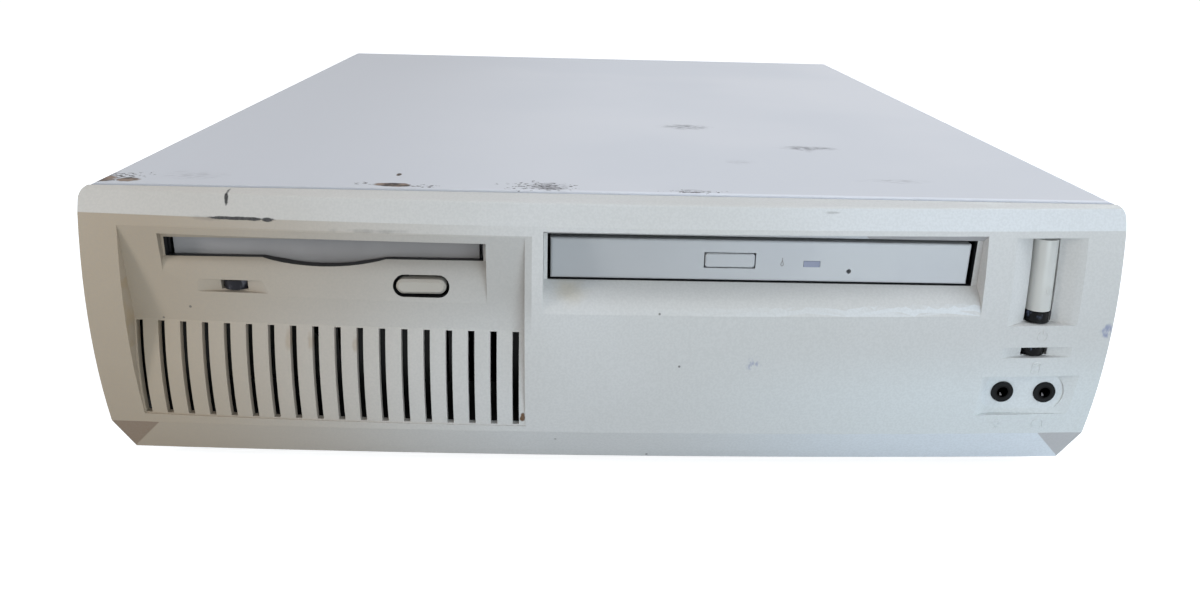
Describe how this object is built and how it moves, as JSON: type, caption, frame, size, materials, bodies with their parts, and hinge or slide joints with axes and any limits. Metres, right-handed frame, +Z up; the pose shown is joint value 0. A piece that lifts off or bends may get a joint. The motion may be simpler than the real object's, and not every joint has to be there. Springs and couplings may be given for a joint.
{
  "type": "desktop computer",
  "caption": "Small flat desktop computer with a steel slide-off cover, bowed plastic front, disk slot, slim optical drive, grille, front buttons and audio sockets.",
  "frame": {"origin": "on the floor under the middle of the case's bounding box", "axes": "+X right seen from the front, +Y to the rear, +Z up; the front faces -Y"},
  "size_m": [0.3148, 0.3772, 0.0937],
  "materials": {
    "cover_paint": "fine textured paint",
    "bezel_plastic": "fine grained moulding",
    "button_plastic": "satin",
    "drive_front_plastic": "satin",
    "flap_plastic": "satin",
    "dark_lens": "smoked, polished",
    "disk_lens": "translucent, polished",
    "optical_lens": "translucent, polished",
    "jack_plastic": "satin",
    "case_steel": "zinc coated",
    "supply_steel": "zinc coated",
    "screw_steel": "bright nickel",
    "foot_rubber": "matt",
    "drive_metal": "satin",
    "disk_metal": "cast, satin",
    "tray_plastic": "satin",
    "sled_metal": "cast",
    "spindle_metal": "turned",
    "rod_steel": "ground",
    "black_plastic": "satin",
    "speaker_cone": "paper cone",
    "circuit_board": "solder mask",
    "memory_board": "solder mask",
    "standoff_brass": "turned",
    "socket_plastic": "satin",
    "processor_cap": "ceramic",
    "sink_aluminium": "extruded",
    "connector_plastic": "satin",
    "chip_plastic": "moulded",
    "capacitor_sleeve": "shrunk sleeve",
    "battery_steel": "bright",
    "ribbon_plastic": "satin",
    "lead_plastic": "wire bundle",
    "guard_wire": "bright wire",
    "selector_plastic": "satin",
    "port_steel": "tinned",
    "port_plastic": "satin"
  },
  "bodies": {
    "chassis": {"front_bezel": "bezel_plastic", "power_lens": "dark_lens", "drive_lens": "dark_lens", "floppy_lens": "disk_lens", "audio_jacks": "jack_plastic", "sound_ports": "jack_plastic", "base_pan": "case_steel", "rear_panel": "case_steel", "drive_cage": "case_steel", "slot_covers": "case_steel", "supply_case": "supply_steel", "rubber_feet": "foot_rubber", "floppy_body": "drive_metal", "optical_case": "drive_metal", "hard_drive": "disk_metal", "power_switch": "black_plastic", "speaker": "speaker_cone", "switch_board": "circuit_board", "audio_board": "circuit_board", "main_board": "circuit_board", "riser_card": "circuit_board", "memory_modules": "memory_board", "board_standoffs": "standoff_brass", "processor_socket": "socket_plastic", "processor": "processor_cap", "processor_heatsink": "sink_aluminium", "processor_fan_frame": "black_plastic", "supply_fan_frame": "black_plastic", "memory_sockets": "black_plastic", "card_slots": "socket_plastic", "board_connectors": "connector_plastic", "board_chips": "chip_plastic", "board_capacitors": "capacitor_sleeve", "battery_holder": "black_plastic", "coin_battery": "battery_steel", "drive_ribbons": "ribbon_plastic", "board_power_lead": "lead_plastic", "fan_guard": "guard_wire", "mains_inlet": "black_plastic", "selector_housing": "black_plastic", "dsub_ports": "port_steel", "keyboard_ports": "port_plastic", "usb_ports": "port_steel", "network_port": "port_steel"},
    "cover": {"top_cover": "cover_paint", "cover_thumbscrews": "screw_steel"},
    "power_key": {"power_button": "button_plastic"},
    "disk_key": {"floppy_eject_button": "button_plastic"},
    "disk_flap": {"floppy_flap": "flap_plastic"},
    "tray": {"optical_tray": "tray_plastic", "optical_tray_front": "drive_front_plastic", "optical_lens": "optical_lens", "optical_guide_rods": "rod_steel"},
    "tray_key": {"optical_button": "drive_front_plastic"},
    "spindle": {"optical_spindle": "spindle_metal"},
    "sled": {"optical_sled": "sled_metal"},
    "processor_fan": {"processor_fan_rotor": "black_plastic"},
    "supply_fan": {"supply_fan_rotor": "black_plastic"},
    "selector": {"selector_slider": "selector_plastic"}
  },
  "joints": [
    {"name": "cover_slide", "type": "slide", "parent": "chassis", "child": "cover", "axis": [0, 1, 0], "range_m": [0, 0.37]},
    {"name": "power_button_press", "type": "slide", "parent": "chassis", "child": "power_key", "axis": [0, 1, 0], "range_m": [0, 0.002], "stiffness_N_per_m": 700, "springref_m": -0.001},
    {"name": "floppy_eject_press", "type": "slide", "parent": "chassis", "child": "disk_key", "axis": [0, 1, 0], "range_m": [0, 0.004], "stiffness_N_per_m": 500, "springref_m": -0.001},
    {"name": "floppy_flap_swing", "type": "hinge", "parent": "chassis", "child": "disk_flap", "pos_m": [-0.08579, -0.1736, 0.079], "axis": [1, 0, 0], "range_deg": [0, 85], "stiffness_Nm_per_rad": 0.002, "springref_deg": -11.46},
    {"name": "optical_tray_slide", "type": "slide", "parent": "chassis", "child": "tray", "axis": [0, -1, 0], "range_m": [0, 0.118]},
    {"name": "optical_button_press", "type": "slide", "parent": "tray", "child": "tray_key", "axis": [0, 1, 0], "range_m": [0, 0.001], "stiffness_N_per_m": 900, "springref_m": -0.0005},
    {"name": "optical_spindle_spin", "type": "hinge", "parent": "tray", "child": "spindle", "pos_m": [0.0462, -0.11156, 0.073], "axis": [0, 0, 1], "continuous": true},
    {"name": "optical_sled_slide", "type": "slide", "parent": "tray", "child": "sled", "axis": [0, -1, 0], "range_m": [0, 0.033]},
    {"name": "processor_fan_spin", "type": "hinge", "parent": "chassis", "child": "processor_fan", "pos_m": [0.02401, 0.06, 0.0605], "axis": [0, 0, 1], "continuous": true},
    {"name": "supply_fan_spin", "type": "hinge", "parent": "chassis", "child": "supply_fan", "pos_m": [0.0942, 0.172, 0.046], "axis": [0, 1, 0], "continuous": true},
    {"name": "voltage_selector_slide", "type": "slide", "parent": "chassis", "child": "selector", "axis": [0, 0, 1], "range_m": [0, 0.006]}
  ]
}
